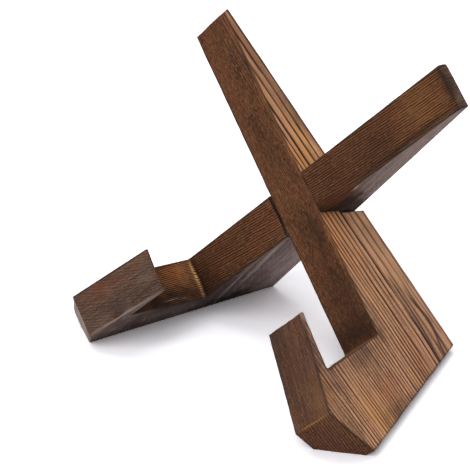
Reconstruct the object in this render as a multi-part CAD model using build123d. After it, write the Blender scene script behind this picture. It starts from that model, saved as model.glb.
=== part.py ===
from build123d import *
from math import cos, radians, sin, tan
import os

# A cookbook stand made of two flat wooden boards that cross at a half lap.
# Both boards have one outline: a long tapering arm, a seat with an upturned
# hook that the book's lower edge stands in, and a foot. They are mirror
# images of each other, and the crossing leans back as a whole.
# Lengths are in millimetres and angles in degrees. Z is up and Y goes to
# the back. The table is at Z = 0, with the origin under the middle.

# The board that both pieces are sawn from
board_thickness = 20.0

# The crossing: the angle between the boards, and how far the plane of their
# front edges leans back
crossing_angle = 90.0
lean_angle = 17.0

# Arm: from the middle of the crossing up to the tip. The end is cut aslant,
# so its back corner stands higher than its front corner.
arm_length = 91.8
tip_depth = 3.8
tip_rise = 2.1

# Seat: how far down the arm it starts, how deep it is from the arm to the
# hook, and how far it falls on the way
seat_drop = 67.1
seat_depth = 39.4
seat_fall = 10.4

# Hook: its height over the seat, how far its inner face leans back to the
# arm, the width of its top, and the run and slope of its front face
hook_height = 25.2
hook_lean = 1.3
hook_tip = 1.7
hook_front_run = 42.3
hook_front_slope = 10.0

# Toe: the flat that takes the corner off below the hook
toe_run = 18.8
toe_depth = 15.4

# Foot: the length of the bottom edge, and how high that edge stays above
# the table at the board's upper face, where the level sole ends
foot_length = 89.4
sole_lift = 2.9

# Sanded edges: the rounding along the broad faces, how much rounder the
# corners of the outline are, and what the saw left inside the seat. The
# narrow top of the hook limits the first two.
edge_round = 0.5
corner_extra = 0.2
saw_radius = 1.2
hook_tip_round_share = 0.48

# Half lap: the play on each side of a slot, and the share of the depth at
# the crossing that is cut out of the right board, from its back edge
lap_play = 0.3
lap_share = 0.5

# How far each cut runs past what it cuts
overrun = 4.0

half_thickness = board_thickness / 2
tilt = radians(crossing_angle / 2)
lean = radians(lean_angle)


def outline():
    """Corners of a board, with X up the arm from the crossing and Y forward."""
    hook_foot = Vector(-seat_drop - seat_fall, seat_depth)
    hook_back = hook_foot + Vector(hook_height, -hook_lean)
    hook_front = hook_back + Vector(0, hook_tip)
    toe_top = hook_front + Vector(-hook_front_run, hook_front_slope)
    toe_bottom = toe_top - Vector(toe_run, toe_depth)
    # The bottom edge is level once the board is tilted and leans back
    level = Vector(tan(lean) / cos(tilt), -1).normalized()
    return {
        "tip_front": Vector(arm_length, 0),
        "tip_back": Vector(arm_length + tip_rise, -tip_depth),
        "heel": toe_bottom + level * foot_length,
        "toe_bottom": toe_bottom,
        "toe_top": toe_top,
        "hook_front": hook_front,
        "hook_back": hook_back,
        "seat_front": hook_foot,
        "seat_back": Vector(-seat_drop, 0),
    }


def depth_at(corners, up_arm):
    """Depth of the board behind its front edge at a place along the arm."""
    top, heel = corners["tip_back"], corners["heel"]
    share = (top.X - up_arm) / (top.X - heel.X)
    return -(top.Y + share * (heel.Y - top.Y))


def blank(corners):
    """One sawn and sanded board before its slot and sole are cut."""
    corner_round = min(edge_round + corner_extra, hook_tip * hook_tip_round_share)
    face = make_face(Polyline(*corners.values(), close=True))
    inner = [face.vertices().sort_by_distance(corners[name])[0] for name in ("seat_front", "seat_back")]
    outer = [corner for corner in face.vertices() if corner not in inner]
    face = fillet(outer, corner_round)
    inner = [face.vertices().sort_by_distance(corners[name])[0] for name in ("seat_front", "seat_back")]
    face = fillet(inner, saw_radius)
    board = extrude(face, half_thickness, both=True)
    broad_faces = board.faces().filter_by(Axis.Z)
    return fillet(broad_faces.edges(), corner_round - corner_extra)


def slot(corners, from_front):
    """The room for the other board, open to the front or to the back."""
    width = board_thickness + 2 * lap_play
    through = (board_thickness + width) / sin(2 * tilt) + 2 * overrun
    floor = -depth_at(corners, 0) * (1 - lap_share)
    mouth = overrun if from_front else -depth_at(corners, -through / 2) - overrun
    room = Box(through, abs(mouth - floor), width)
    return Pos(0, (mouth + floor) / 2, 0) * Rot(0, -crossing_angle, 0) * room


def height_over_crossing(place, across):
    """Height in the stand of a place on the outline, across the thickness."""
    up_slope = cos(tilt) * place.X + sin(tilt) * across
    return cos(lean) * up_slope + sin(lean) * place.Y


def right_hand_board(corners, slot_from_front):
    """A board standing with its hook on the right and its sole on the table."""
    board = blank(corners) - slot(corners, slot_from_front)
    height = sole_lift - height_over_crossing(corners["toe_bottom"], half_thickness)
    place = Plane(
        origin=(0, 0, height),
        x_dir=(-sin(tilt), cos(tilt) * sin(lean), cos(tilt) * cos(lean)),
        z_dir=(cos(tilt), sin(tilt) * sin(lean), sin(tilt) * cos(lean)),
    )
    return split(place.location * board, bisect_by=Plane.XY, keep=Keep.TOP)


corners = outline()
right_board = right_hand_board(corners, slot_from_front=False)
left_board = mirror(right_hand_board(corners, slot_from_front=True), about=Plane.YZ)

# The origin comes under the middle of the stand
middle = Compound([right_board, left_board]).bounding_box().center()
to_origin = Pos(-middle.X, -middle.Y, 0)

nodes = {
    "right_hook_board": to_origin * right_board,
    "left_hook_board": to_origin * left_board,
}

os.makedirs("parts", exist_ok=True)
for name, shape in nodes.items():
    shape.label = name
    export_step(shape, f"parts/{name}.step")
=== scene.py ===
import math
import bmesh
import bpy
import numpy as np
from mathutils import Matrix, Vector
from mathutils.geometry import delaunay_2d_cdt


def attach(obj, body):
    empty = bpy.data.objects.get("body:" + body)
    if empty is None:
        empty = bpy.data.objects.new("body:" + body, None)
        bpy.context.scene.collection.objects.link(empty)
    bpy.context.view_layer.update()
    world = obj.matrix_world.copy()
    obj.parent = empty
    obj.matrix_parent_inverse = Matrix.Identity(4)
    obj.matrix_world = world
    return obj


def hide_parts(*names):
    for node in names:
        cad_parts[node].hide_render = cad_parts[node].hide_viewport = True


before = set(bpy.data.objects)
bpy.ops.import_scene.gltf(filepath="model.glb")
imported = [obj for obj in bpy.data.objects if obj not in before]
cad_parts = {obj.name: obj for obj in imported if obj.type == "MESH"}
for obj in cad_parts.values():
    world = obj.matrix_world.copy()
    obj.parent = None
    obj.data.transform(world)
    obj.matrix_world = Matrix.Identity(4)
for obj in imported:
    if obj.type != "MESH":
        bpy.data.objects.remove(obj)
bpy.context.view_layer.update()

# Left hook board: 20 mm softwood, planed, sawn to its outline and scorched, so that the sawn
# edges came out darker than the planed faces. It stands behind, with its slot cut from the
# front edge. Sizes are in millimetres: X up the arm from the crossing, Y forward, Z across.
board_thickness = 20.0
outline_corners = {
    "tip": (91.8, 0.0),
    "back": (93.9, -3.8),
    "bottom": (-77.9206, -47.6583),
    "toe": (-113.4, 34.4),
    "hook_front": (-94.6, 49.8),
    "hook_tip": (-52.3, 39.8),
    "hook_inner": (-52.3, 38.1),
    "seat": (-77.5, 39.4),
    "arm": (-67.1, 0.0),
}
slot_half_width = 10.3
slot_floor = -13.884
outer_corner_radius = 0.7
seat_corner_radius = 1.2
slot_mouth_radius = 0.3
slot_floor_radius = 0.2
sanded_rim = 0.5
slot_rim = 0.25
slot_rim_fade = 2.0
rubbed_corner_depth = 0.6
rubbed_corner_reach = 3.5
rubbed_corner_push = (0.71, -0.31, 0.63)
lean = math.radians(17.0)
crossing_place = (0.0, 18.8284, 62.7625)

# The grain runs along the back edge, and the crossing lies this far in front of that edge
back_x, back_y = outline_corners["back"]
bottom_x, bottom_y = outline_corners["bottom"]
grain_slope = math.atan2(back_y - bottom_y, back_x - bottom_x)
grain_cos = math.cos(grain_slope)
grain_sin = math.sin(grain_slope)
behind_back_edge = round(back_x * grain_sin - back_y * grain_cos, 3)


def board_corners(slot_from_front):
    """Corners in order, each with its radius and the wall that starts there."""
    run = []
    for name, corner in outline_corners.items():
        radius = seat_corner_radius if name in ("seat", "arm") else outer_corner_radius
        run.append((corner, radius, name))
        if name == "back" and not slot_from_front:
            slope = (bottom_y - back_y) / (bottom_x - back_x)
            upper = (slot_half_width, back_y + slope * (slot_half_width - back_x))
            lower = (-slot_half_width, back_y + slope * (-slot_half_width - back_x))
            run.append((upper, slot_mouth_radius, "slot"))
            run.append(((slot_half_width, slot_floor), slot_floor_radius, "slot"))
            run.append(((-slot_half_width, slot_floor), slot_floor_radius, "slot"))
            run.append((lower, slot_mouth_radius, "back"))
        if name == "arm" and slot_from_front:
            run.append(((-slot_half_width, 0.0), slot_mouth_radius, "slot"))
            run.append(((-slot_half_width, slot_floor), slot_floor_radius, "slot"))
            run.append(((slot_half_width, slot_floor), slot_floor_radius, "slot"))
            run.append(((slot_half_width, 0.0), slot_mouth_radius, "arm"))
    return run


# How finely the outline, the rounded rims and the planed faces are cut up
wall_steps = {"arm": 1.0, "back": 1.1, "slot": 1.1, "bottom": 1.0}
other_wall_step = 0.7
broad_radius = 0.5
broad_corner_pieces = 5
small_corner_pieces = 2
rim_steps = 3
edge_columns = 76
grid_along = np.arange(-130, 115, 1.05)
grid_over = np.arange(-2, 106, 0.5) - behind_back_edge
least_gap = 0.28
merged_below = 1e-6


def heading(start, end):
    """Direction from one point to another."""
    return (end - start) / np.linalg.norm(end - start)


def turn_between(into, out):
    """Angle from one direction to the next."""
    return math.atan2(into[0] * out[1] - into[1] * out[0], into @ out)


def sawn_outline(corners):
    """Points round the board, the directions outward from them and the walls that they lie on."""
    count = len(corners)
    places = [np.array(corner[0]) for corner in corners]
    points, outward, walls = [], [], []
    for here in range(count):
        before, at, after = places[here - 1], places[here], places[(here + 1) % count]
        into = heading(before, at)
        out = heading(at, after)
        turn = turn_between(into, out)
        radius, wall = corners[here][1], corners[here][2]
        trim = radius * math.tan(abs(turn) / 2)
        side = 1.0 if turn > 0 else -1.0
        start = at - into * trim
        centre = start + side * radius * np.array([-into[1], into[0]])
        spoke = start - centre
        pieces = broad_corner_pieces if radius > broad_radius else small_corner_pieces
        for piece in range(pieces + 1):
            angle = turn * piece / pieces
            turned = np.array([spoke[0] * math.cos(angle) - spoke[1] * math.sin(angle),
                               spoke[0] * math.sin(angle) + spoke[1] * math.cos(angle)])
            points.append(centre + turned)
            outward.append(-side * turned / radius)
            walls.append(wall if piece > pieces / 2 else corners[here - 1][2])
        next_turn = turn_between(out, heading(after, places[(here + 2) % count]))
        next_trim = corners[(here + 1) % count][1] * math.tan(abs(next_turn) / 2)
        first, last = at + out * trim, after - out * next_trim
        length = np.linalg.norm(last - first)
        cells = max(1, round(length / wall_steps.get(wall, other_wall_step)))
        for cell in range(1, cells):
            points.append(first + (last - first) * cell / cells)
            outward.append(np.array([-out[1], out[0]]))
            walls.append(wall)
    return np.array(points), np.array(outward), np.array(walls)


def inside(points, loop):
    """Which points lie inside a closed loop."""
    after = np.roll(loop, -1, axis=0)
    hit = np.zeros(len(points), bool)
    for (x0, y0), (x1, y1) in zip(loop, after):
        crosses = (points[:, 1] < y0) != (points[:, 1] < y1)
        if y0 != y1:
            hit ^= crosses & (points[:, 0] < x0 + (points[:, 1] - y0) / (y1 - y0) * (x1 - x0))
    return hit


def gap_to(points, loop):
    """Distance of each point from a closed loop."""
    nearest = np.full(len(points), np.inf)
    after = np.roll(loop, -1, axis=0)
    for start, end in zip(loop, after):
        run = end - start
        share = np.clip(((points - start) @ run) / max(run @ run, 1e-12), 0, 1)
        nearest = np.minimum(nearest, np.linalg.norm(points - start - share[:, None] * run, axis=1))
    return nearest


def rounded_section(rim):
    """Rows from one planed face to the other: how far in, how high and how much sawn edge each is."""
    half = board_thickness / 2
    turn = np.linspace(0, math.pi / 2, rim_steps + 1)
    rows_in, rows_high, rows_edge = [], [], []
    for angle in turn[::-1]:
        rows_in.append(rim * (1 - math.cos(angle)))
        rows_high.append(-(half - rim + rim * math.sin(angle)))
        rows_edge.append(math.cos(angle))
    for column in range(1, edge_columns):
        rows_in.append(rim * 0)
        rows_high.append((half - rim) * (2 * column / edge_columns - 1))
        rows_edge.append(1.0)
    for angle in turn:
        rows_in.append(rim * (1 - math.cos(angle)))
        rows_high.append(half - rim + rim * math.sin(angle))
        rows_edge.append(math.cos(angle))
    return np.array(rows_in).T, np.array(rows_high).T, np.array(rows_edge)


def planed_face(loop):
    """Points in rows along the grain inside a loop, their distances from it, and the triangles."""
    along, over = np.meshgrid(grid_along, grid_over)
    grid = np.column_stack([(along * grain_cos - over * grain_sin).ravel(),
                            (along * grain_sin + over * grain_cos).ravel()])
    grid = grid[inside(grid, loop)]
    gap = gap_to(grid, loop)
    grid, gap = grid[gap > least_gap], gap[gap > least_gap]
    flat = [Vector(place) for place in np.vstack([loop, grid])]
    made = delaunay_2d_cdt(flat, [], [list(range(len(loop)))], 1, merged_below)
    origin = [sources[0] for sources in made[3]]
    return grid, gap, np.array([[origin[corner] for corner in face] for face in made[2]])


def board_mesh(name, slot_from_front, rubbed_corner):
    """The sanded board in its own axes, with one fine grid along the grain on each planed face."""
    points, outward, walls = sawn_outline(board_corners(slot_from_front))
    mouths = points[walls == "slot"]
    to_slot = np.min(np.linalg.norm(points[:, None] - mouths[None], axis=2), axis=1)
    rim = slot_rim + (sanded_rim - slot_rim) * np.clip(to_slot / slot_rim_fade, 0, 1)
    half = board_thickness / 2
    inward, height, rows_edge = rounded_section(rim)
    count, across = height.shape
    shell = np.concatenate([points[:, None] - outward[:, None] * inward[..., None], height[..., None]],
                           axis=2)
    edge = np.repeat(rows_edge[None], count, axis=0)
    arris = np.clip(half - rim[:, None] - np.abs(height), 0, None)

    grid, gap, triangles = planed_face(points - outward * rim[:, None])
    vertices = np.vstack([shell.reshape(-1, 3),
                          np.column_stack([grid, np.full(len(grid), -half)]),
                          np.column_stack([grid, np.full(len(grid), half)])])
    if rubbed_corner:
        away = np.linalg.norm(vertices - np.array([*outline_corners["back"], half]), axis=1)
        push = rubbed_corner_depth * np.clip(1 - away / rubbed_corner_reach, 0, 1) ** 2
        vertices = vertices - push[:, None] * np.array(rubbed_corner_push)

    low_row = np.arange(count) * across
    low_ids = np.concatenate([low_row, count * across + np.arange(len(grid))])
    high_ids = np.concatenate([low_row + across - 1, count * across + len(grid) + np.arange(len(grid))])
    here = low_row[:, None] + np.arange(across - 1)[None]
    there = np.roll(low_row, -1)[:, None] + np.arange(across - 1)[None]
    quads = np.stack([here, there, there + 1, here + 1], axis=-1).reshape(-1, 4)
    faces = quads.tolist() + low_ids[triangles].tolist() + high_ids[triangles].tolist()
    mesh = bpy.data.meshes.new(name)
    mesh.from_pydata(vertices.tolist(), [], faces)

    on_faces = np.zeros(2 * len(grid))
    values = {"edge_wall": np.concatenate([edge.ravel(), on_faces]),
              "arris_gap": np.concatenate([arris.ravel(), gap, gap])}
    for wall in ("seat", "hook_front", "toe", "tip", "slot"):
        on_wall = np.repeat((walls == wall).astype(float), across)
        values["on_" + wall] = np.concatenate([on_wall, on_faces])
    for label, numbers in values.items():
        attribute = mesh.attributes.new(label, "FLOAT", "POINT")
        attribute.data.foreach_set("value", numbers.astype(np.float32))
    outward_faces = bmesh.new()
    outward_faces.from_mesh(mesh)
    bmesh.ops.recalc_face_normals(outward_faces, faces=outward_faces.faces)
    outward_faces.to_mesh(mesh)
    outward_faces.free()
    mesh.shade_smooth()
    return mesh


def node(tree, kind, inputs=None, **settings):
    """A node with its settings, and its sockets linked or set."""
    made = tree.nodes.new(kind)
    for label, value in settings.items():
        setattr(made, label, value)
    for key, value in (inputs or {}).items():
        if isinstance(value, bpy.types.NodeSocket):
            tree.links.new(value, made.inputs[key])
        else:
            made.inputs[key].default_value = value
    return made


def calc(tree, operation, *values):
    """One sum on numbers or sockets."""
    return node(tree, "ShaderNodeMath", dict(enumerate(values)), operation=operation).outputs[0]


def times(tree, first, *others):
    """Numbers or sockets multiplied together."""
    for other in others:
        first = calc(tree, "MULTIPLY", first, other)
    return first


def rest_of(tree, share):
    """What a share leaves of 1."""
    return calc(tree, "SUBTRACT", 1.0, share)


def parts_of(tree, vector):
    """The three numbers of a vector."""
    return node(tree, "ShaderNodeSeparateXYZ", {0: vector}).outputs


def bell(tree, value):
    """1 where the value is 0, falling off smoothly on both sides."""
    return calc(tree, "EXPONENT", times(tree, value, value, -1.0))


def step_up(tree, value, low, high, least=0.0, most=1.0):
    """Goes softly from least to most while the value goes from low to high."""
    made = node(tree, "ShaderNodeMapRange", {0: value, 1: low, 2: high, 3: least, 4: most},
                interpolation_type="SMOOTHSTEP")
    return made.outputs[0]


def grain_noise(tree, grain, lengths, seed, detail):
    """Noise whose clumps have these lengths along, over and through the grain, centred on 0."""
    seed_stride = 7.31
    scaled = [calc(tree, "DIVIDE", part, length) for part, length in zip(parts_of(tree, grain), lengths)]
    scaled[0] = calc(tree, "ADD", scaled[0], seed * seed_stride)
    place = node(tree, "ShaderNodeCombineXYZ", dict(enumerate(scaled)))
    made = node(tree, "ShaderNodeTexNoise",
                {"Vector": place.outputs[0], "Scale": 1.0, "Detail": detail, "Roughness": 0.5})
    return calc(tree, "SUBTRACT", made.outputs[0], 0.5)


def grain_axes(tree, place):
    """Turns a place on the board to run along the grain, forward from the back edge, and across."""
    up_arm, forward, across = parts_of(tree, place)
    along = calc(tree, "ADD", times(tree, up_arm, grain_cos), times(tree, forward, grain_sin))
    over = calc(tree, "SUBTRACT", times(tree, forward, grain_cos), times(tree, up_arm, grain_sin))
    over = calc(tree, "ADD", over, behind_back_edge)
    return node(tree, "ShaderNodeCombineXYZ", {0: along, 1: over, 2: across}).outputs[0]


def spot(tree, grain, centre, spread):
    """1 at a place in the board, falling off smoothly to 0 over its spread along, over and across."""
    away = node(tree, "ShaderNodeVectorMath", {0: grain, 1: centre}, operation="SUBTRACT").outputs[0]
    share = node(tree, "ShaderNodeVectorMath", {0: away, 1: spread}, operation="DIVIDE").outputs[0]
    square = node(tree, "ShaderNodeVectorMath", {0: share, 1: share}, operation="DOT_PRODUCT")
    return calc(tree, "EXPONENT", times(tree, square.outputs["Value"], -1.0))


# How the growth rings wander, over which lengths along, over and through the grain, and where in
# each year its hard wood lies, as a share of the year
slow_wander = (75.0, 22.0, 22.0)
quick_wander = (14.0, 4.0, 4.0)
quick_wander_share = 0.45
quick_wander_seed = 3
year_wander_pace = 0.41
year_wander = 0.5
first_year = 0.6
hard_wood_starts = 0.50
hard_wood_full = 0.80
hard_wood_ends = 0.93
faintest_ring = 0.65


def growth_rings(tree, grain, wood):
    """How dark and hard the wood is at a place, from the growth rings round the tree's heart."""
    parts = parts_of(tree, grain)
    over = calc(tree, "SUBTRACT", parts[1], wood["heart"][0])
    through = calc(tree, "SUBTRACT", parts[2], wood["heart"][1])
    square = calc(tree, "ADD", times(tree, over, over), times(tree, through, through))
    reach = calc(tree, "SQRT", square)
    slow = grain_noise(tree, grain, slow_wander, wood["seed"], 1.0)
    quick = grain_noise(tree, grain, quick_wander, wood["seed"] + quick_wander_seed, 1.0)
    reach = calc(tree, "MULTIPLY_ADD", slow, wood["wander"], reach)
    reach = calc(tree, "MULTIPLY_ADD", quick, wood["wander"] * quick_wander_share, reach)
    for centre, spread, push in wood["swirls"]:
        reach = calc(tree, "MULTIPLY_ADD", spot(tree, grain, centre, spread), push, reach)
    start, width = wood["ring_widths"][0]
    rings = calc(tree, "DIVIDE", calc(tree, "SUBTRACT", reach, start), width)
    for (start, after), (_, before) in zip(wood["ring_widths"][1:], wood["ring_widths"]):
        beyond = calc(tree, "MAXIMUM", calc(tree, "SUBTRACT", reach, start), 0.0)
        rings = calc(tree, "MULTIPLY_ADD", beyond, 1 / after - 1 / before, rings)
    pace = calc(tree, "MULTIPLY_ADD", rings, year_wander_pace, wood["seed"])
    uneven = node(tree, "ShaderNodeTexNoise", {"W": pace, "Scale": 1.0, "Detail": 0.0},
                  noise_dimensions="1D")
    rings = calc(tree, "MULTIPLY_ADD", uneven.outputs[0], year_wander, rings)
    rings = calc(tree, "ADD", rings, first_year)
    year = calc(tree, "FLOOR", rings)
    share = calc(tree, "SUBTRACT", rings, year)
    rise = step_up(tree, share, hard_wood_starts, hard_wood_full)
    fall = step_up(tree, share, hard_wood_ends, 1.0, 1.0, 0.0)
    strength = node(tree, "ShaderNodeTexWhiteNoise", {"W": calc(tree, "ADD", year, wood["seed"])},
                    noise_dimensions="1D")
    strength = calc(tree, "MULTIPLY_ADD", strength.outputs[0], 1 - faintest_ring, faintest_ring)
    return times(tree, rise, fall, strength)


def paint(tone):
    """A colour from its usual 0 to 255 values."""
    def linear(value):
        value = value / 255
        return value / 12.92 if value <= 0.04045 else ((value + 0.055) / 1.055) ** 2.4
    red, green, blue = tone
    return (linear(red), linear(green), linear(blue), 1.0)


def mix(tree, share, first, second):
    """Blends two colours, each of them a socket or a tone."""
    first, second = [paint(tone) if isinstance(tone, tuple) else tone for tone in (first, second)]
    return node(tree, "ShaderNodeMix", {0: share, 6: first, 7: second}, data_type="RGBA").outputs[2]


# Marks in the wood: their lengths along, over and through the grain, a seed and how fine they go
wood_marks = {
    "cloud": ((36.0, 12.0, 12.0), 11, 3.0),
    "small_cloud": ((20.0, 8.0, 8.0), 17, 3.0),
    "streak": ((60.0, 1.7, 1.7), 12, 2.0),
    "fibre": ((6.0, 0.3, 0.3), 13, 2.0),
    "grit": ((0.9, 0.6, 0.6), 14, 3.0),
    "speck": ((0.7, 0.45, 0.45), 15, 1.0),
    "hair": ((34.0, 0.8, 0.8), 27, 3.0),
    "thread": ((14.0, 0.55, 0.55), 24, 3.0),
    "hook_thread": ((30.0, 20.0, 0.55), 34, 3.0),
    "rust": ((24.0, 7.0, 7.0), 28, 2.0),
    "olive": ((22.0, 6.0, 6.0), 30, 2.0),
    "soot": ((26.0, 6.0, 6.0), 31, 2.0),
    "scuff": ((16.0, 9.0, 0.5), 23, 3.0),
    "blush": ((8.0, 5.0, 5.0), 26, 3.0),
    "pale_rub": ((15.0, 7.0, 7.0), 32, 3.0),
    "dark_rub": ((13.0, 6.0, 6.0), 33, 3.0),
    "bold": ((26.0, 3.0, 3.0), 25, 2.0),
    "worn": ((14.0, 5.0, 5.0), 21, 2.0),
}
fuzz_turn = math.radians(-28)
fuzz_marks = ((15.0, 0.7, 0.7), 19, 3.0)

# Each layer of a finish: its mark, the levels between which it comes in, its strength and its tone
upper_ground = ((203, 147, 114), (232, 172, 133))
upper_layers = [
    ("cloud", 0.50, 0.66, 0.7, (230, 168, 112)),
    ("small_cloud", 0.50, 0.66, 0.7, (152, 114, 93)),
    ("hair", 0.52, 0.68, 0.6, (122, 80, 54)),
    ("hair", 0.48, 0.32, 0.5, (240, 184, 128)),
    ("fibre", 0.48, 0.72, 0.6, (112, 72, 48)),
    ("grit", 0.50, 0.72, 0.5, (242, 194, 144)),
    ("speck", 0.47, 0.24, 0.5, (92, 58, 40)),
]
under_ground = ((124, 103, 96), (162, 138, 130))
under_ring_tone = (70, 52, 46)
under_layers = [
    ("fuzz", 0.50, 0.72, 0.4, (188, 170, 160)),
    ("fuzz", 0.45, 0.25, 0.35, (66, 50, 44)),
    ("grit", 0.50, 0.70, 0.5, (196, 178, 170)),
    ("speck", 0.48, 0.26, 0.5, (56, 42, 38)),
    ("cloud", 0.52, 0.70, 0.5, (96, 74, 64)),
]
sawn_ground = ((70, 41, 28), (100, 63, 42))
sawn_layers = [
    ("small_cloud", 0.50, 0.70, 0.5, (102, 57, 38)),
    ("streak", 0.50, 0.70, 0.5, (118, 76, 48)),
    ("rust", 0.48, 0.62, 0.6, (116, 62, 43)),
    ("olive", 0.50, 0.64, 0.55, (98, 70, 40)),
    ("soot", 0.50, 0.64, 0.55, (50, 31, 22)),
]
thread_layers = [
    ("thread", 0.50, 0.68, 1.0, (134, 89, 59)),
    ("thread", 0.50, 0.32, 0.9, (44, 26, 18)),
]
hook_layers = [
    ("hook_thread", 0.50, 0.68, 0.6, (134, 92, 62)),
    ("hook_thread", 0.50, 0.32, 0.6, (46, 28, 20)),
]
saw_band_tone = (124, 80, 48)
sawn_speckles = [
    ("grit", 0.48, 0.68, 0.42, (144, 99, 65)),
    ("speck", 0.48, 0.27, 0.65, (32, 19, 13)),
]
soft_band_tone = (148, 91, 49)
sawn_fibres = [("fibre", 0.50, 0.80, 0.4, (44, 26, 17))]
scuffed_ground = ((66, 47, 38), (126, 100, 84))
scuffed_layers = [
    ("blush", 0.50, 0.65, 0.7, (116, 66, 46)),
    ("pale_rub", 0.50, 0.64, 0.5, (134, 112, 98)),
    ("dark_rub", 0.50, 0.64, 0.5, (66, 52, 46)),
    ("grit", 0.50, 0.70, 0.4, (156, 130, 110)),
    ("speck", 0.48, 0.26, 0.45, (40, 29, 23)),
]
tip_scuffs = 0.8
seat_tone = (180, 124, 82)
planed_ring_tone = (64, 34, 22)
sawn_ring_tone = (28, 15, 10)
# Painted shade in the seat's saw ripples.
ripple_shade_tone = (46, 26, 15)
# Pale dust on the toe, with a painted sheen.
dust_and_sheen_tone = (200, 180, 166)
wavy_ring_tone = (78, 56, 50)
dark_arris_tone = (52, 36, 26)
pale_arris_tone = (164, 144, 130)

# Soft changes: the two levels between which each happens, and its strength at each of them
fades = {
    "streaks": (0.35, 0.65, 0.0, 1.0),
    "clouds": (0.35, 0.65, 0.0, 1.0),
    "scuffs": (0.3, 0.7, 0.0, 1.0),
    "sole_height": (0.00003, 0.00015, 1.0, 0.0),
    "rim_to_edge": (0.2, 0.9, 0.0, 1.0),
    "under_to_upper": (-4.0, 4.0, 0.0, 1.0),
    "saw_bands": (-0.2, 1.0, 0.0, 1.0),
    "saw_bands_in_clouds": (0.4, 0.6, 0.05, 0.3),
    "ripples": (-0.3, 0.6, 0.0, 0.85),
    "ripples_forward": (7.0, 11.0, 0.0, 1.0),
    "threads_on_hook": (0.0, 1.0, 1.0, 0.35),
    "bold_rings": (0.3, 0.6, 0.65, 1.25),
    "bold_rings_over": (4.0, 20.0, 0.72, 1.0),
    "bold_rings_along": (-5.0, 15.0, 1.0, 1.38),
    "worn_rim_width": (0.35, 0.7, 0.3, 1.1),
    "worn_rim": (0.0, 1.0, 0.65, 0.0),
    "roughness": (0.0, 1.0, 0.66, 0.5),
}
under_ring_strength = 0.45
seat_strength = 0.6
saw_band_turns = 5.9
saw_band_wander = 9.0
ripple_turns = 5.6
ripple_slant = -0.56
ripple_wander = 4.0
small_ripple_wander = 3.0
hard_ring_gain = 1.8
line_levels = (0.35, 0.6)
faint_line_share = 0.3
soft_band_share = 0.5
line_on_hook = 0.3
line_on_toe = 0.3
dust_and_sheen_levels = (0.3, 0.6)
thin_dust_and_sheen_share = 0.7
stain_edge_scale = 0.16
stain_edge_tear = 1.6
wavy_ring_start = 3.0
wavy_ring_end = 16.0
fibre_height = 0.6
ring_height = 0.6
bump_distance = 0.00008
bump_strength = 0.6
wood_gloss = 0.15
wood_refraction = 1.45


def layered(tree, colour, marks, layers, within=None):
    """Lays tones over a colour, one after another, each where its mark shows."""
    for mark, low, high, strength, tone in layers:
        shown = step_up(tree, marks[mark], low, high, 0.0, strength)
        if within is not None:
            shown = times(tree, shown, within)
        colour = mix(tree, shown, colour, tone)
    return colour


def marks_in(tree, grain, wood):
    """All the marks of one board, each from 0 to 1, and its hard rings."""
    places = {label: (grain, *sizes) for label, sizes in wood_marks.items()}
    fuzz_place = node(tree, "ShaderNodeVectorRotate", {"Vector": grain, "Angle": fuzz_turn},
                      rotation_type="Z_AXIS").outputs[0]
    places["fuzz"] = (fuzz_place, *fuzz_marks)
    marks = {"late": growth_rings(tree, grain, wood)}
    for label, (place, lengths, seed, detail) in places.items():
        noise = grain_noise(tree, place, lengths, wood["seed"] + seed, detail)
        marks[label] = calc(tree, "ADD", noise, 0.5)
    return marks


def wall_mask(tree, label):
    """What the mesh says of a place, such as how much it is part of one sawn wall."""
    return node(tree, "ShaderNodeAttribute", attribute_name=label).outputs["Fac"]


def walls_at(tree, object_place, grain):
    """Which walls and faces a place on the board belongs to."""
    on_sole = step_up(tree, parts_of(tree, object_place)[2], *fades["sole_height"])
    off_sole = rest_of(tree, on_sole)
    edge = calc(tree, "MAXIMUM", wall_mask(tree, "edge_wall"), on_sole)
    sawn = step_up(tree, edge, *fades["rim_to_edge"])
    faces_up = step_up(tree, parts_of(tree, grain)[2], *fades["under_to_upper"])
    return {"off_sole": off_sole, "sawn": sawn, "faces_up": faces_up,
            "upper": times(tree, rest_of(tree, sawn), faces_up),
            "hook": wall_mask(tree, "on_hook_front"), "tip": wall_mask(tree, "on_tip"),
            "seat": wall_mask(tree, "on_seat"), "arris": wall_mask(tree, "arris_gap"),
            "toe": times(tree, wall_mask(tree, "on_toe"), off_sole)}


def planed_faces(tree, marks, walls):
    """The upper face, warm orange-brown with fine hairs, and the duller under face with its fuzz."""
    streak = step_up(tree, marks["streak"], *fades["streaks"])
    upper = layered(tree, mix(tree, streak, *upper_ground), marks, upper_layers)
    under = mix(tree, streak, *under_ground)
    under = mix(tree, times(tree, marks["late"], under_ring_strength), under, under_ring_tone)
    under = layered(tree, under, marks, under_layers)
    return mix(tree, walls["faces_up"], under, upper)


def saw_bands(tree, place, marks):
    """Faint bands that the saw left up the sawn edges."""
    up_arm = parts_of(tree, place)[0]
    turns = times(tree, up_arm, saw_band_turns)
    turns = calc(tree, "MULTIPLY_ADD", marks["small_cloud"], saw_band_wander, turns)
    wave = step_up(tree, calc(tree, "SINE", turns), *fades["saw_bands"])
    return times(tree, wave, step_up(tree, marks["cloud"], *fades["saw_bands_in_clouds"]))


def seat_ripple_shade(tree, place, marks, walls):
    """Painted shade in the slanting ripples that the saw left on the seat, plainer towards the hook."""
    _, forward, across = parts_of(tree, place)
    turns = times(tree, calc(tree, "MULTIPLY_ADD", forward, ripple_slant, across), ripple_turns)
    turns = calc(tree, "MULTIPLY_ADD", marks["cloud"], ripple_wander, turns)
    turns = calc(tree, "MULTIPLY_ADD", marks["small_cloud"], small_ripple_wander, turns)
    wave = step_up(tree, calc(tree, "SINE", turns), *fades["ripples"])
    return times(tree, wave, walls["seat"], step_up(tree, forward, *fades["ripples_forward"]))


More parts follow.
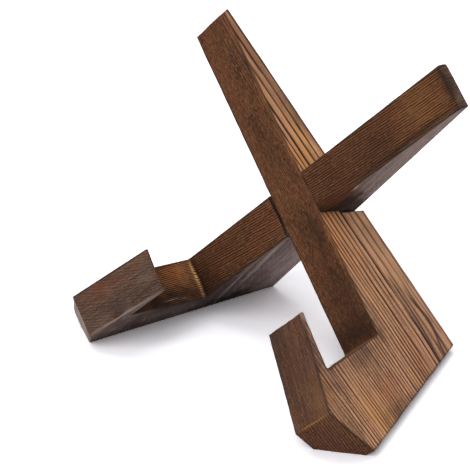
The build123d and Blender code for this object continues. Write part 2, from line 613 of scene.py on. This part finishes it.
def ring_lines(tree, marks, walls, wood):
    """How hard the wood is on the sawn edges, and how much its rings show there as lines."""
    hard = calc(tree, "MINIMUM", times(tree, marks["late"], hard_ring_gain), 1.0)
    strong = wood["edge_lines"]
    shown = step_up(tree, marks["streak"], *line_levels, strong * faint_line_share, strong)
    plain = rest_of(tree, calc(tree, "MAXIMUM", walls["hook"], walls["tip"]))
    return hard, times(tree, shown, plain)


def sawn_edges(tree, place, marks, walls, wood):
    """The sawn and scorched edges: dark umber, mottled, threaded, and scuffed on hook and tip."""
    clouds = step_up(tree, marks["cloud"], *fades["clouds"])
    ground = layered(tree, mix(tree, clouds, *sawn_ground), marks, sawn_layers)
    shown_threads = step_up(tree, walls["hook"], *fades["threads_on_hook"])
    ground = layered(tree, ground, marks, thread_layers, shown_threads)
    ground = layered(tree, ground, marks, hook_layers, walls["hook"])
    ground = mix(tree, saw_bands(tree, place, marks), ground, saw_band_tone)
    ground = layered(tree, ground, marks, sawn_speckles)
    soft_bands = times(tree, rest_of(tree, marks["hard"]), times(tree, marks["lines"], soft_band_share))
    sawn = layered(tree, mix(tree, soft_bands, ground, soft_band_tone), marks, sawn_fibres)
    scuffs = step_up(tree, marks["scuff"], *fades["scuffs"])
    scuffed = layered(tree, mix(tree, scuffs, *scuffed_ground), marks, scuffed_layers)
    sawn = mix(tree, times(tree, walls["hook"], wood["hook_scuffs"]), sawn, scuffed)
    sawn = mix(tree, times(tree, walls["tip"], tip_scuffs), sawn, scuffed)
    return mix(tree, times(tree, walls["seat"], seat_strength), sawn, seat_tone)


def torch_stains_and_painted_light(tree, grain, colour, stains_and_painted_light):
    """Places where the torch lingered or only passed over, and places of painted shade and painted
    highlight, each with torn edges.
    """
    noise = node(tree, "ShaderNodeTexNoise",
                 {"Vector": grain, "Scale": stain_edge_scale, "Detail": 3.0}).outputs["Color"]
    wobble = node(tree, "ShaderNodeVectorMath", {0: noise, 1: (0.5, 0.5, 0.5)},
                  operation="SUBTRACT").outputs[0]
    for centre, spread, tone, strength in stains_and_painted_light:
        moved = node(tree, "ShaderNodeVectorMath", {0: wobble, 1: spread},
                     operation="MULTIPLY").outputs[0]
        torn = node(tree, "ShaderNodeVectorMath", {0: moved, 1: [stain_edge_tear] * 3, 2: grain},
                    operation="MULTIPLY_ADD").outputs[0]
        colour = mix(tree, times(tree, spot(tree, torn, centre, spread), strength), colour, tone)
    return colour


def dark_rings(tree, place, grain, colour, marks, walls, wood):
    """The hard rings as dark lines, painted shade in the ripples on the seat, and the pale dust and
    painted sheen on the toe.
    """
    along, over, _ = parts_of(tree, grain)
    bold = times(tree, step_up(tree, marks["bold"], *fades["bold_rings"]),
                 step_up(tree, over, *fades["bold_rings_over"]),
                 step_up(tree, along, *fades["bold_rings_along"]))
    colour = mix(tree, times(tree, marks["late"], bold, walls["upper"]), colour, planed_ring_tone)
    line = calc(tree, "MULTIPLY_ADD", walls["hook"], line_on_hook, marks["lines"])
    line = calc(tree, "MULTIPLY_ADD", walls["toe"], line_on_toe, line)
    colour = mix(tree, times(tree, marks["hard"], line, walls["sawn"]), colour, sawn_ring_tone)
    # Painted shade in the troughs of the saw's ripples on the seat.
    ripples = times(tree, seat_ripple_shade(tree, place, marks, walls), walls["sawn"])
    colour = mix(tree, ripples, colour, ripple_shade_tone)
    # The pale on the toe: dust, and a painted sheen that a low view gives it.
    thick = wood["toe_dust_and_sheen"]
    dust_and_sheen = step_up(tree, marks["blush"], *dust_and_sheen_levels, thick, thick * thin_dust_and_sheen_share)
    return mix(tree, times(tree, walls["toe"], dust_and_sheen), colour, dust_and_sheen_tone)


def wavy_rings(tree, grain, colour, walls, wood):
    """Single rings that stand out on the upper face as broad wavy streaks."""
    along, over, _ = parts_of(tree, grain)
    for level, start, end, width, bends, strength in wood["wavy_rings"]:
        bent = calc(tree, "SUBTRACT", over, level)
        for bend_at, bend_length, rise_by in bends:
            away = calc(tree, "DIVIDE", calc(tree, "SUBTRACT", along, bend_at), bend_length)
            bent = calc(tree, "MULTIPLY_ADD", bell(tree, away), -rise_by, bent)
        shown = times(tree, step_up(tree, along, start - wavy_ring_start, start), walls["upper"],
                      step_up(tree, along, end - wavy_ring_end, end, strength, 0.0))
        line = times(tree, bell(tree, calc(tree, "DIVIDE", bent, width)), shown)
        colour = mix(tree, line, colour, wavy_ring_tone)
    return colour


def worn_arrises(tree, grain, colour, marks, walls, wood):
    """Rims that wore as they were sanded, dark nearly everywhere and pale in one place."""
    rim_width = step_up(tree, marks["worn"], *fades["worn_rim_width"])
    worn = step_up(tree, calc(tree, "DIVIDE", walls["arris"], rim_width), *fades["worn_rim"])
    rim_tone = mix(tree, spot(tree, grain, *wood["pale_arris"]), dark_arris_tone, pale_arris_tone)
    return mix(tree, times(tree, worn, walls["off_sole"]), colour, rim_tone)


def board_matrix(mirrored):
    """Places a board's own axes in the stand, in metres."""
    tilt = math.radians(45)
    up_arm = Vector((-math.sin(tilt), math.cos(tilt) * math.sin(lean), math.cos(tilt) * math.cos(lean)))
    forward = Vector((0, -math.cos(lean), math.sin(lean)))
    across = up_arm.cross(forward)
    place = Matrix.Translation(Vector(crossing_place) / 1000)
    turned = Matrix((up_arm, forward, across)).transposed().to_4x4()
    flip = Matrix.Scale(-1, 4, Vector((1, 0, 0))) if mirrored else Matrix.Identity(4)
    return flip @ place @ turned @ Matrix.Scale(0.001, 4)


def scorched_softwood(name, mirrored, wood):
    """Solid wood: growth rings through the whole board, scorched darker where it was sawn."""
    material = bpy.data.materials.new(name)
    material.use_nodes = True
    tree = material.node_tree
    tree.nodes.clear()
    turn = board_matrix(False).to_3x3().normalized().transposed()
    sideways = -1000.0 if mirrored else 1000.0
    object_place = node(tree, "ShaderNodeTexCoord").outputs["Object"]
    place = node(tree, "ShaderNodeMapping",
                 {"Vector": object_place, "Location": -(turn @ Vector(crossing_place)),
                  "Rotation": turn.to_euler("XYZ"), "Scale": (sideways, 1000.0, 1000.0)}).outputs[0]
    grain = grain_axes(tree, place)
    marks = marks_in(tree, grain, wood)
    walls = walls_at(tree, object_place, grain)
    marks["hard"], marks["lines"] = ring_lines(tree, marks, walls, wood)
    planed = planed_faces(tree, marks, walls)
    sawn = sawn_edges(tree, place, marks, walls, wood)
    colour = mix(tree, walls["sawn"], planed, sawn)
    colour = torch_stains_and_painted_light(tree, grain, colour, wood["stains_and_painted_light"])
    colour = dark_rings(tree, place, grain, colour, marks, walls, wood)
    colour = wavy_rings(tree, grain, colour, walls, wood)
    colour = worn_arrises(tree, grain, colour, marks, walls, wood)
    height = times(tree, marks["late"], ring_height)
    height = calc(tree, "MULTIPLY_ADD", marks["fibre"], fibre_height, height)
    bump = node(tree, "ShaderNodeBump",
                {"Height": height, "Distance": bump_distance, "Strength": bump_strength})
    rough = step_up(tree, marks["late"], *fades["roughness"])
    shader = node(tree, "ShaderNodeBsdfPrincipled",
                  {"Base Color": colour, "Roughness": rough, "Normal": bump.outputs[0],
                   "IOR": wood_refraction, "Specular IOR Level": wood_gloss})
    node(tree, "ShaderNodeOutputMaterial", {"Surface": shader.outputs[0]})
    return material


# How deep the relief goes, in millimetres, the marks that its fibres and its uneven wear follow,
# and the levels between which the wear comes in and the relief fades at an arris
relief_sizes = {
    "Brush Depth": 0.16,
    "Fibre Depth": 0.03,
    "Saw Ripple": 0.16,
    "Ripple Pitch": 1.7,
    "Hand Wear": 0.35,
}
relief_fibre = ((9.0, 0.8, 0.8), 13, 2.0)
uneven_wear = ((13.0, 10.0, 10.0), 29, 2.0)
wear_levels = (-0.15, 0.2)
arris_fade = (0.0, 1.2, 0.3, 1.0)
saw_snap = 1e-7


def relief_mask(tree, label):
    """What the mesh says of a point, such as how much it is part of one sawn wall."""
    return node(tree, "GeometryNodeInputNamedAttribute", {0: label}, data_type="FLOAT").outputs[0]


def brushed_relief(name, wood, material):
    """Wears the soft wood down between the hard rings and leaves the saw's ripples on the seat."""
    tree = bpy.data.node_groups.new(name, "GeometryNodeTree")
    tree.interface.new_socket("Geometry", in_out="INPUT", socket_type="NodeSocketGeometry")
    identifiers = {}
    for label, value in relief_sizes.items():
        made = tree.interface.new_socket(label, in_out="INPUT", socket_type="NodeSocketFloat")
        made.default_value = value
        identifiers[label] = made.identifier
    tree.interface.new_socket("Geometry", in_out="OUTPUT", socket_type="NodeSocketGeometry")
    given = node(tree, "NodeGroupInput").outputs
    place = node(tree, "GeometryNodeInputPosition").outputs[0]
    grain = grain_axes(tree, place)
    lengths, seed, detail = relief_fibre
    fibre = calc(tree, "ADD", grain_noise(tree, grain, lengths, wood["seed"] + seed, detail), 0.5)
    soft = rest_of(tree, growth_rings(tree, grain, wood))
    depth = times(tree, soft, given["Brush Depth"])
    depth = calc(tree, "MULTIPLY_ADD", fibre, given["Fibre Depth"], depth)
    turns = times(tree, parts_of(tree, place)[1], 2 * math.pi)
    turns = calc(tree, "DIVIDE", turns, given["Ripple Pitch"])
    wave = calc(tree, "MULTIPLY_ADD", calc(tree, "SINE", turns), 0.5, 0.5)
    ripple = times(tree, wave, given["Saw Ripple"])
    depth = calc(tree, "MULTIPLY_ADD", ripple, relief_mask(tree, "on_seat"), depth)
    off_slot = rest_of(tree, relief_mask(tree, "on_slot"))
    off_arris = step_up(tree, relief_mask(tree, "arris_gap"), *arris_fade)
    depth = times(tree, depth, off_slot, off_arris)
    lengths, seed, detail = uneven_wear
    uneven = grain_noise(tree, grain, lengths, wood["seed"] + seed, detail)
    wear = times(tree, step_up(tree, uneven, *wear_levels), given["Hand Wear"],
                 relief_mask(tree, "edge_wall"))
    depth = calc(tree, "MULTIPLY_ADD", wear, off_slot, depth)
    normal = node(tree, "GeometryNodeInputNormal").outputs[0]
    inwards = node(tree, "ShaderNodeVectorMath", {0: normal, "Scale": times(tree, depth, -1.0)},
                   operation="SCALE")
    moved = node(tree, "GeometryNodeSetPosition",
                 {"Geometry": given["Geometry"], "Offset": inwards.outputs[0]})
    real = node(tree, "GeometryNodeRealizeInstances", {0: moved.outputs[0]})
    painted = node(tree, "GeometryNodeSetMaterial", {0: real.outputs[0], "Material": material})
    node(tree, "NodeGroupOutput", {0: painted.outputs[0]})
    return tree, identifiers


def saw_sole(mesh):
    """Saws a board that stands in its place level with the table."""
    sole = bmesh.new()
    sole.from_mesh(mesh)
    everything = sole.verts[:] + sole.edges[:] + sole.faces[:]
    bmesh.ops.bisect_plane(sole, geom=everything, dist=saw_snap, plane_co=(0, 0, 0),
                           plane_no=(0, 0, 1), clear_inner=True)
    rim = [edge for edge in sole.edges if edge.is_boundary]
    for edge in rim:
        edge.smooth = False
    filled = bmesh.ops.edgenet_fill(sole, edges=rim)["faces"]
    for face in filled:
        face.smooth = False
    bmesh.ops.triangulate(sole, faces=filled)
    bmesh.ops.recalc_face_normals(sole, faces=sole.faces)
    sole.to_mesh(mesh)
    sole.free()


def make_board(name, cad_node, body, mirrored, slot_from_front, wood):
    """Cuts the relief, stands the board in its place and saws its sole."""
    material = scorched_softwood(name + "_wood", mirrored, wood)
    blank_mesh = board_mesh(name + "_blank", slot_from_front, rubbed_corner=mirrored)
    blank = bpy.data.objects.new(name + "_blank", blank_mesh)
    bpy.context.scene.collection.objects.link(blank)
    tree, identifiers = brushed_relief(name + "_relief", wood, material)
    brush = blank.modifiers.new("brushed relief", "NODES")
    brush.node_group = tree
    for label, value in relief_sizes.items():
        brush[identifiers[label]] = value
    finished = blank.evaluated_get(bpy.context.evaluated_depsgraph_get())
    mesh = bpy.data.meshes.new_from_object(finished)
    bpy.data.objects.remove(blank)
    mesh.transform(board_matrix(mirrored))
    saw_sole(mesh)
    mesh.name = name
    board = bpy.data.objects.new(name, mesh)
    bpy.context.scene.collection.objects.link(board)
    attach(board, body)
    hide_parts(cad_node)


# The left board's own grain and finish, with painted shade and painted highlights among its stains.
# Places are along the grain, over it from the back edge, and across the board.
left_wood = {
    "seed": 5.0,
    # The heart of the tree, over and across, and how far from it each width of ring starts
    "heart": (-20.0, 130.0),
    "ring_widths": [(150.0, 1.0)],
    "wander": 0.8,
    "swirls": [],
    "wavy_rings": [],
    "edge_lines": 1.0,
    "hook_scuffs": 0.8,
    # How pale the toe is: dust, and a painted sheen.
    "toe_dust_and_sheen": 0.68,
    # The pale part of the rims: its place and its spread
    "pale_arris": ((-60.0, 91.0, -10.0), (26.0, 16.0, 5.0)),
    # Each stain, painted shade or painted highlight: its place, its spread in the three directions, its
    # tone and its strength
    "stains_and_painted_light": [
        # Painted shade: the next three darken the under face low down, towards the foot and behind the
        # seat.
        ((-76.0, 27.0, -12.0), (13.0, 26.0, 6.0), (24, 14, 14), 1.2),
        ((-92.0, 80.0, -12.0), (34.0, 28.0, 6.0), (50, 30, 25), 0.88),
        ((-56.0, 37.0, -12.0), (17.0, 11.0, 6.0), (44, 28, 26), 0.8),
        ((-58.0, 33.5, -12.0), (14.0, 0.65, 5.0), (206, 190, 182), 0.7),
        ((-42.0, 28.0, -12.0), (14.0, 0.7, 5.0), (206, 190, 182), 0.75),
        ((-24.0, 28.8, -12.0), (12.0, 0.8, 5.0), (200, 182, 174), 0.8),
        ((-46.0, 32.0, -12.0), (16.0, 0.7, 5.0), (52, 40, 38), 0.6),
        ((-34.0, 24.5, -12.0), (18.0, 0.8, 5.0), (60, 46, 42), 0.5),
        # The next three lie in the corner where the right board stands against the under face: an orange
        # scorch mark, then two of painted shade.
        ((17.0, 20.0, -11.0), (12.0, 7.0, 5.0), (98, 50, 18), 1.7),
        ((6.0, 11.0, -11.0), (8.0, 15.0, 5.0), (26, 13, 6), 1.7),
        ((15.0, 12.5, -11.0), (8.0, 6.0, 5.0), (32, 15, 7), 1.7),
        ((25.0, 20.6, -9.3), (7.0, 1.6, 2.0), (116, 68, 40), 0.55),
        ((30.4, 17.6, -10.3), (2.0, 0.6, 1.5), (240, 210, 184), 1.0),
        ((24.0, 22.0, 0.0), (17.0, 8.0, 9.0), (44, 26, 15), 0.3),
        # Darker low on the front edge: partly scorch, partly painted shade under the hook.
        ((-44.0, 38.0, 2.0), (20.0, 6.0, 8.0), (40, 22, 12), 0.28),
        ((-37.0, 5.0, -10.5), (28.0, 11.0, 1.2), (200, 174, 170), 0.8),
        ((64.0, 7.0, -10.5), (28.0, 9.0, 1.2), (182, 158, 152), 0.45),
        ((-72.0, 95.0, -8.0), (12.0, 8.0, 4.0), (150, 120, 106), 0.3),
        # Painted shade on the under face of the lower arm.
        ((-58.0, 30.0, -10.5), (22.0, 30.0, 1.4), (62, 38, 32), 0.28),
        ((-66.0, 91.0, 5.0), (18.0, 8.0, 4.5), (124, 70, 44), 0.4),
        ((-60.0, 88.0, -4.0), (12.0, 6.0, 3.5), (84, 70, 66), 0.35),
        # Painted shade on the under face towards the foot.
        ((-86.0, 82.0, -10.5), (26.0, 28.0, 1.4), (58, 36, 32), 0.3),
        ((-45.0, 80.0, 8.0), (6.0, 5.0, 4.0), (150, 112, 88), 0.3),
        ((74.0, 8.5, 0.0), (13.0, 4.0, 14.0), (156, 104, 58), 0.42),
        ((46.0, 13.6, -2.0), (17.0, 5.0, 14.0), (40, 23, 14), 0.42),
        ((74.0, 8.0, -7.8), (24.0, 6.0, 1.5), (30, 19, 13), 0.6),
        ((54.0, 14.0, -8.3), (20.0, 8.0, 1.1), (30, 19, 13), 0.6),
        # Painted shade on the front edge in the inside corner at the seat.
        ((-60.0, 42.0, -2.0), (10.0, 5.0, 14.0), (34, 20, 11), 0.5),
        ((88.4, 4.4, 0.0), (1.7, 3.0, 14.0), (44, 33, 26), 0.85),
        ((-65.0, 54.0, 6.0), (5.0, 5.0, 7.0), (186, 106, 50), 0.6),
        # Painted shadow on the half of the seat towards the under face.
        ((-65.0, 64.0, -6.5), (6.0, 24.0, 6.0), (38, 29, 24), 0.9),
        ((-65.2, 60.0, -6.9), (3.0, 3.4, 0.4), (176, 156, 136), 0.75),
        ((-65.2, 54.4, -7.6), (3.0, 1.8, 0.5), (156, 134, 114), 0.65),
        # A painted highlight along the rounded inside corner of the seat, then painted shade on the
        # front edge beside it.
        ((-65.6, 43.7, 2.0), (0.8, 0.8, 9.0), (226, 172, 112), 0.9),
        ((-63.8, 42.9, 0.0), (0.8, 0.8, 12.0), (30, 18, 12), 0.8),
        # A painted shadow in the gap at the mouth of the slot, where the right board passes.
        ((-10.5, 29.7, 0.0), (0.5, 2.5, 16.0), (8, 6, 5), 1.4),
    ],
}
make_board("left_board_brushed", "left_hook_board", "left_board", mirrored=True,
           slot_from_front=True, wood=left_wood)

# Right hook board: the mirror image, from a plank whose growth rings stand nearer upright to
# its planed faces, so those show dark lines. Its front edge runs unbroken over the crossing,
# and its slot is cut from the back edge.
right_wood = {
    "seed": 2.0,
    "heart": (-90.0, 290.0),
    "ring_widths": [(299.4, 1.6), (299.4, 1.15), (303.5, 0.87), (322.5, 1.1)],
    "wander": 0.7,
    # Each swirl: its place, its spread and how far it pushes the rings
    "swirls": [
        ((-108.0, 12.0, 10.0), (22.0, 9.0, 30.0), -0.9),
        ((-125.0, 110.0, 10.0), (45.0, 32.0, 60.0), 5.5),
    ],
    # Each wavy ring: its place over the grain, its start and end along it, its width, its bends
    # and its strength. Each bend: its place along the ring, its length and its rise.
    "wavy_rings": [
        (12.6, -92.0, -40.0, 0.9, [(-92.0, 14.0, 3.4)], 0.95),
        (8.0, -90.0, -48.0, 1.0, [(-91.0, 8.0, 2.4), (-72.0, 7.0, -2.6)], 0.95),
        (3.2, -78.0, -40.0, 0.6, [(-60.0, 8.0, 0.8)], 0.6),
    ],
    "edge_lines": 0.45,
    "hook_scuffs": 0.26,
    "toe_dust_and_sheen": 0.0,
    "pale_arris": ((-40.0, 80.0, 10.0), (5.0, 5.0, 5.0)),
    "stains_and_painted_light": [
        ((-88.0, 73.0, 12.0), (13.0, 9.0, 5.0), (228, 164, 104), 0.6),
        ((-94.0, 63.0, 12.0), (5.0, 6.0, 5.0), (84, 58, 44), 0.6),
        ((-68.0, 56.0, 12.0), (6.0, 12.0, 5.0), (96, 72, 60), 0.5),
        ((-86.0, 56.0, 12.0), (5.0, 7.0, 5.0), (198, 120, 80), 0.5),
        ((-62.0, 87.0, 11.0), (17.0, 9.0, 2.5), (98, 74, 70), 0.9),
        ((-66.0, 62.0, 12.0), (4.5, 14.0, 5.0), (112, 88, 80), 0.5),
        ((-95.0, 46.0, 12.0), (3.0, 16.0, 5.0), (80, 56, 44), 0.7),
        ((-84.0, 28.0, 12.0), (12.0, 8.0, 5.0), (172, 104, 78), 0.5),
        ((-55.0, 3.0, 12.0), (55.0, 8.0, 5.0), (206, 158, 126), 0.45),
        ((-48.0, 30.0, 10.6), (12.0, 9.0, 1.4), (226, 166, 114), 0.5),
        ((-54.0, 7.0, 12.0), (7.0, 7.0, 5.0), (208, 152, 98), 0.5),
        ((-27.0, 9.0, 12.0), (14.0, 12.0, 5.0), (222, 166, 124), 0.4),
        ((-20.0, 31.0, 10.6), (17.0, 11.0, 1.4), (236, 158, 98), 0.85),
        ((-40.0, 0.0, 12.0), (90.0, 1.2, 5.0), (128, 102, 84), 0.6),
        # Painted shade on the upper face in the corner against the left board.
        ((-11.0, 14.0, 11.0), (2.5, 15.0, 4.0), (52, 28, 16), 0.65),
        ((14.0, 19.0, 10.6), (9.0, 5.0, 1.4), (228, 156, 84), 0.75),
        ((42.0, 12.0, 10.6), (46.0, 14.0, 1.4), (236, 170, 106), 0.45),
        ((38.0, 2.0, 10.6), (20.0, 7.0, 2.0), (92, 72, 62), 0.75),
        ((20.0, 9.0, 10.6), (13.0, 5.0, 1.6), (248, 180, 110), 0.8),
        ((46.0, 12.0, 10.6), (12.0, 8.0, 1.4), (118, 82, 60), 0.15),
        ((80.0, 2.0, 10.6), (16.0, 4.0, 1.4), (108, 76, 56), 0.4),
        ((76.0, 8.0, 10.6), (13.0, 4.0, 1.2), (186, 116, 66), 0.5),
        ((-72.0, 94.0, 6.5), (12.0, 7.0, 4.5), (142, 98, 60), 0.45),
        ((-58.0, 87.0, -2.0), (17.0, 7.0, 6.0), (82, 48, 40), 0.35),
        ((-43.0, 79.0, -7.0), (7.0, 5.0, 5.0), (52, 44, 40), 0.5),
        ((-90.0, 93.0, 0.0), (13.0, 8.0, 7.0), (122, 78, 68), 0.35),
        ((-54.0, 79.0, 10.6), (12.0, 10.0, 1.4), (100, 74, 68), 0.6),
        ((-55.0, 5.0, 12.0), (15.0, 7.0, 5.0), (232, 178, 138), 0.6),
        ((30.0, 19.0, -9.0), (40.0, 12.0, 4.0), (140, 90, 56), 0.35),
        # Darker low on the front edge: partly scorch, partly painted shade under the hook.
        ((-54.0, 40.0, 0.0), (16.0, 6.0, 16.0), (38, 23, 15), 0.3),
        ((26.0, 20.3, 0.0), (14.0, 5.0, 3.5), (64, 39, 27), 0.35),
        ((64.0, 6.0, 12.0), (26.0, 6.0, 5.0), (150, 96, 68), 0.4),
        ((16.5, 5.0, 12.0), (4.0, 0.5, 4.0), (248, 216, 168), 1.1),
        # Painted shade on the front edge in the inside corner at the seat.
        ((-60.0, 42.0, 0.0), (6.0, 4.0, 16.0), (34, 21, 14), 0.65),
        ((-36.0, 36.0, 2.0), (24.0, 6.0, 5.5), (58, 36, 26), 0.42),
        ((-16.0, 31.0, 4.0), (12.0, 4.0, 3.8), (48, 30, 20), 0.6),
        ((62.5, 11.4, 8.8), (5.0, 2.0, 0.7), (22, 16, 14), 0.9),
        # A painted highlight along the rounded corner between the toe and the hook's front.
        ((-79.4, 98.6, 2.0), (0.5, 0.5, 9.0), (210, 150, 84), 0.6),
    ],
}
make_board("right_board_brushed", "right_hook_board", "right_board", mirrored=False,
           slot_from_front=False, wood=right_wood)

# Floor: plain pale card under the stand. What the camera sees of it comes out white, and the
# stand's own soft shadow stays on it.
floor_reach = 6.0
card_tone = (232, 232, 236)
card_seen_colour = (1.53, 1.515, 1.57, 1.0)
floor_corners = [(-floor_reach, -floor_reach, 0), (floor_reach, -floor_reach, 0),
                 (floor_reach, floor_reach, 0), (-floor_reach, floor_reach, 0)]
floor_mesh = bpy.data.meshes.new("floor")
floor_mesh.from_pydata(floor_corners, [], [(0, 1, 2, 3)])
floor = bpy.data.objects.new("floor", floor_mesh)
bpy.context.scene.collection.objects.link(floor)
card = bpy.data.materials.new("pale_card")
card.use_nodes = True
card_tree = card.node_tree
card_tree.nodes.clear()
card_face = node(card_tree, "ShaderNodeBsdfDiffuse", {"Color": paint(card_tone)})
card_seen = node(card_tree, "ShaderNodeBsdfDiffuse", {"Color": card_seen_colour})
card_path = node(card_tree, "ShaderNodeLightPath").outputs
card_either = node(card_tree, "ShaderNodeMixShader",
                   {0: card_path["Is Camera Ray"], 1: card_face.outputs[0], 2: card_seen.outputs[0]})
node(card_tree, "ShaderNodeOutputMaterial", {0: card_either.outputs[0]})
floor_mesh.materials.append(card)

# Soft studio light: a pale room all round, one broad soft light high behind on the left and
# another in front.
room_colour = (0.97, 0.985, 1.0, 1.0)
room_strength = 0.5
white = (1, 1, 1, 1)
world = bpy.data.worlds.new("pale_room")
bpy.context.scene.world = world
world.use_nodes = True
world_tree = world.node_tree
world_tree.nodes.clear()
seen = node(world_tree, "ShaderNodeLightPath").outputs
room = node(world_tree, "ShaderNodeBackground", {"Color": room_colour, "Strength": room_strength})
backdrop = node(world_tree, "ShaderNodeBackground", {"Color": white, "Strength": 1.0})
either = node(world_tree, "ShaderNodeMixShader",
              {0: seen["Is Camera Ray"], 1: room.outputs[0], 2: backdrop.outputs[0]})
node(world_tree, "ShaderNodeOutputWorld", {0: either.outputs[0]})


def soft_lamp(name, strength, breadth, comes_from):
    """A broad soft light that comes from one direction, its breadth in degrees."""
    light = bpy.data.lights.new(name, "SUN")
    light.energy = strength
    light.angle = math.radians(breadth)
    lamp = bpy.data.objects.new(name, light)
    bpy.context.scene.collection.objects.link(lamp)
    lamp.rotation_euler = (-Vector(comes_from)).to_track_quat("-Z", "Y").to_euler()


soft_lamp("overhead", strength=0.8, breadth=50, comes_from=(-0.7, 0.3, 1.0))
soft_lamp("front", strength=1.0, breadth=60, comes_from=(0.1, -0.8, 0.9))

# Camera: as far away and as high as the photograph was taken from, looking down at the stand
# from its right front.
camera_place = (0.393463, -0.420319, 0.332374)
camera_right = (0.726558, 0.686146, -0.036286)
camera_up = (-0.273725, 0.337477, 0.900657)
camera_back = (0.630228, -0.644448, 0.433013)
focal_length_in_pixels = 1524.7
picture_width_in_pixels = 470
sensor_width = 36
camera_data = bpy.data.cameras.new("camera")
camera_data.sensor_width = sensor_width
camera_data.lens = focal_length_in_pixels / picture_width_in_pixels * sensor_width
camera_data.clip_start = 0.01
camera = bpy.data.objects.new("camera", camera_data)
bpy.context.scene.collection.objects.link(camera)
camera_turn = Matrix((camera_right, camera_up, camera_back)).transposed().to_4x4()
camera.matrix_world = Matrix.Translation(camera_place) @ camera_turn
bpy.context.scene.camera = camera

bpy.context.scene.view_settings.view_transform = "Standard"
